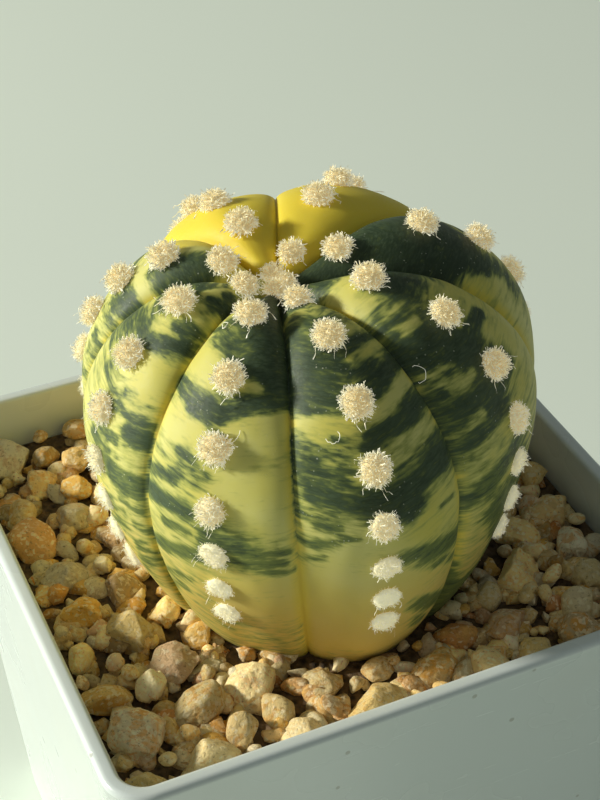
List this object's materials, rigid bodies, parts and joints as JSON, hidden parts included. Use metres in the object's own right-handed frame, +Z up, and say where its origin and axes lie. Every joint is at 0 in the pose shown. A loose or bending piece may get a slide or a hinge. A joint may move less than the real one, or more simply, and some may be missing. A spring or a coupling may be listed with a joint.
{
  "type": "potted variegated sand dollar cactus",
  "caption": "Low ribbed ball cactus, green streaked with yellow, with woolly areoles, set in mix under a stone top dressing in a tapered square plastic pot.",
  "frame": {"origin": "centre of the pot's foot, on the surface it stands on", "axes": "+Z up along the pot's axis; X and Y along the sides of the square pot, with the picture's near corner towards -X and -Y"},
  "size_m": [0.075, 0.075, 0.1061],
  "materials": {
    "pot": "moulded white plastic, smooth and glossy with faint scuffs",
    "potting_mix": "dark crumbly mix of bark, coir and grit",
    "gravel": "rough dry stones in cream, tan, orange and grey",
    "cactus": "waxy flesh in dark green streaked with yellow, with cream wool on the areoles"
  },
  "bodies": {
    "root": {"pot": "pot", "potting_mix": "potting_mix", "gravel": "gravel", "cactus": "cactus"}
  },
  "joints": []
}
